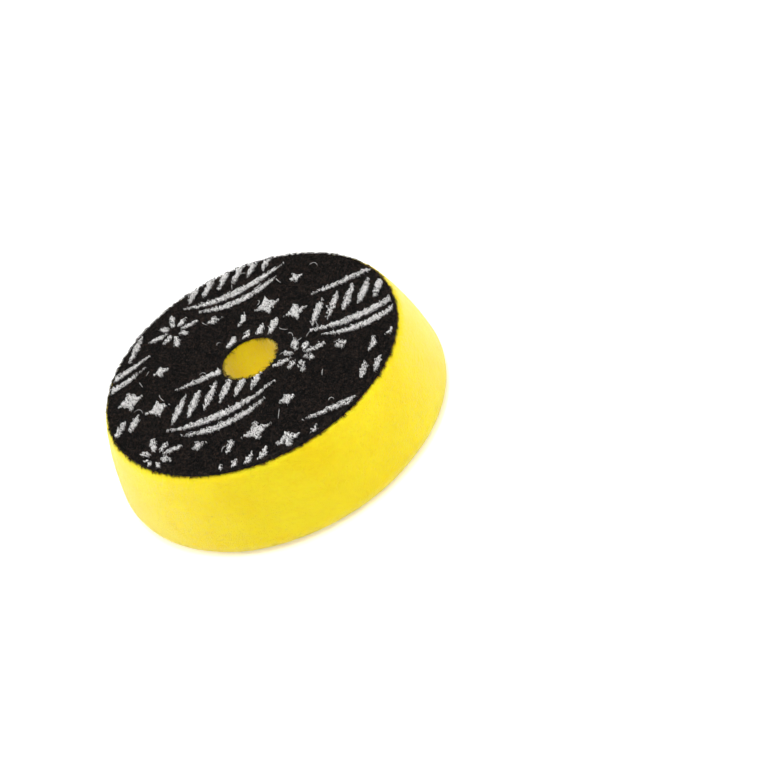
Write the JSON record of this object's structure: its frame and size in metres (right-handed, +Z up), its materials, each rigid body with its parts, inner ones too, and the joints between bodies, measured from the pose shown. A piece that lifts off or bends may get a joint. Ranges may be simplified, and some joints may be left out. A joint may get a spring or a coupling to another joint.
{
  "type": "polishing pad",
  "caption": "Round foam polishing pad with a flared flank, a centring hole and a knitted loop-fabric back.",
  "frame": {"origin": "middle of the work face, on the axis of the centring hole, where the pad rests", "axes": "+Z up along the centring hole, from the foam work face to the loop fabric; +X and +Y in the plane of the work face"},
  "size_m": [0.0924, 0.0924, 0.0254],
  "materials": {
    "yellow_foam": "fine open-cell polyurethane foam, matt and slightly translucent",
    "clear_adhesive": "set hot-melt film, dull",
    "black_knit": "knitted nylon ground, matt",
    "black_pile": "brushed nylon loops, matt with a faint sheen",
    "white_pile": "brushed nylon loops, matt with a faint sheen"
  },
  "bodies": {
    "root": {"foam_body": "yellow_foam", "adhesive_film": "clear_adhesive", "ground_knit": "black_knit", "black_loops": "black_pile", "white_loops": "white_pile"}
  },
  "joints": []
}
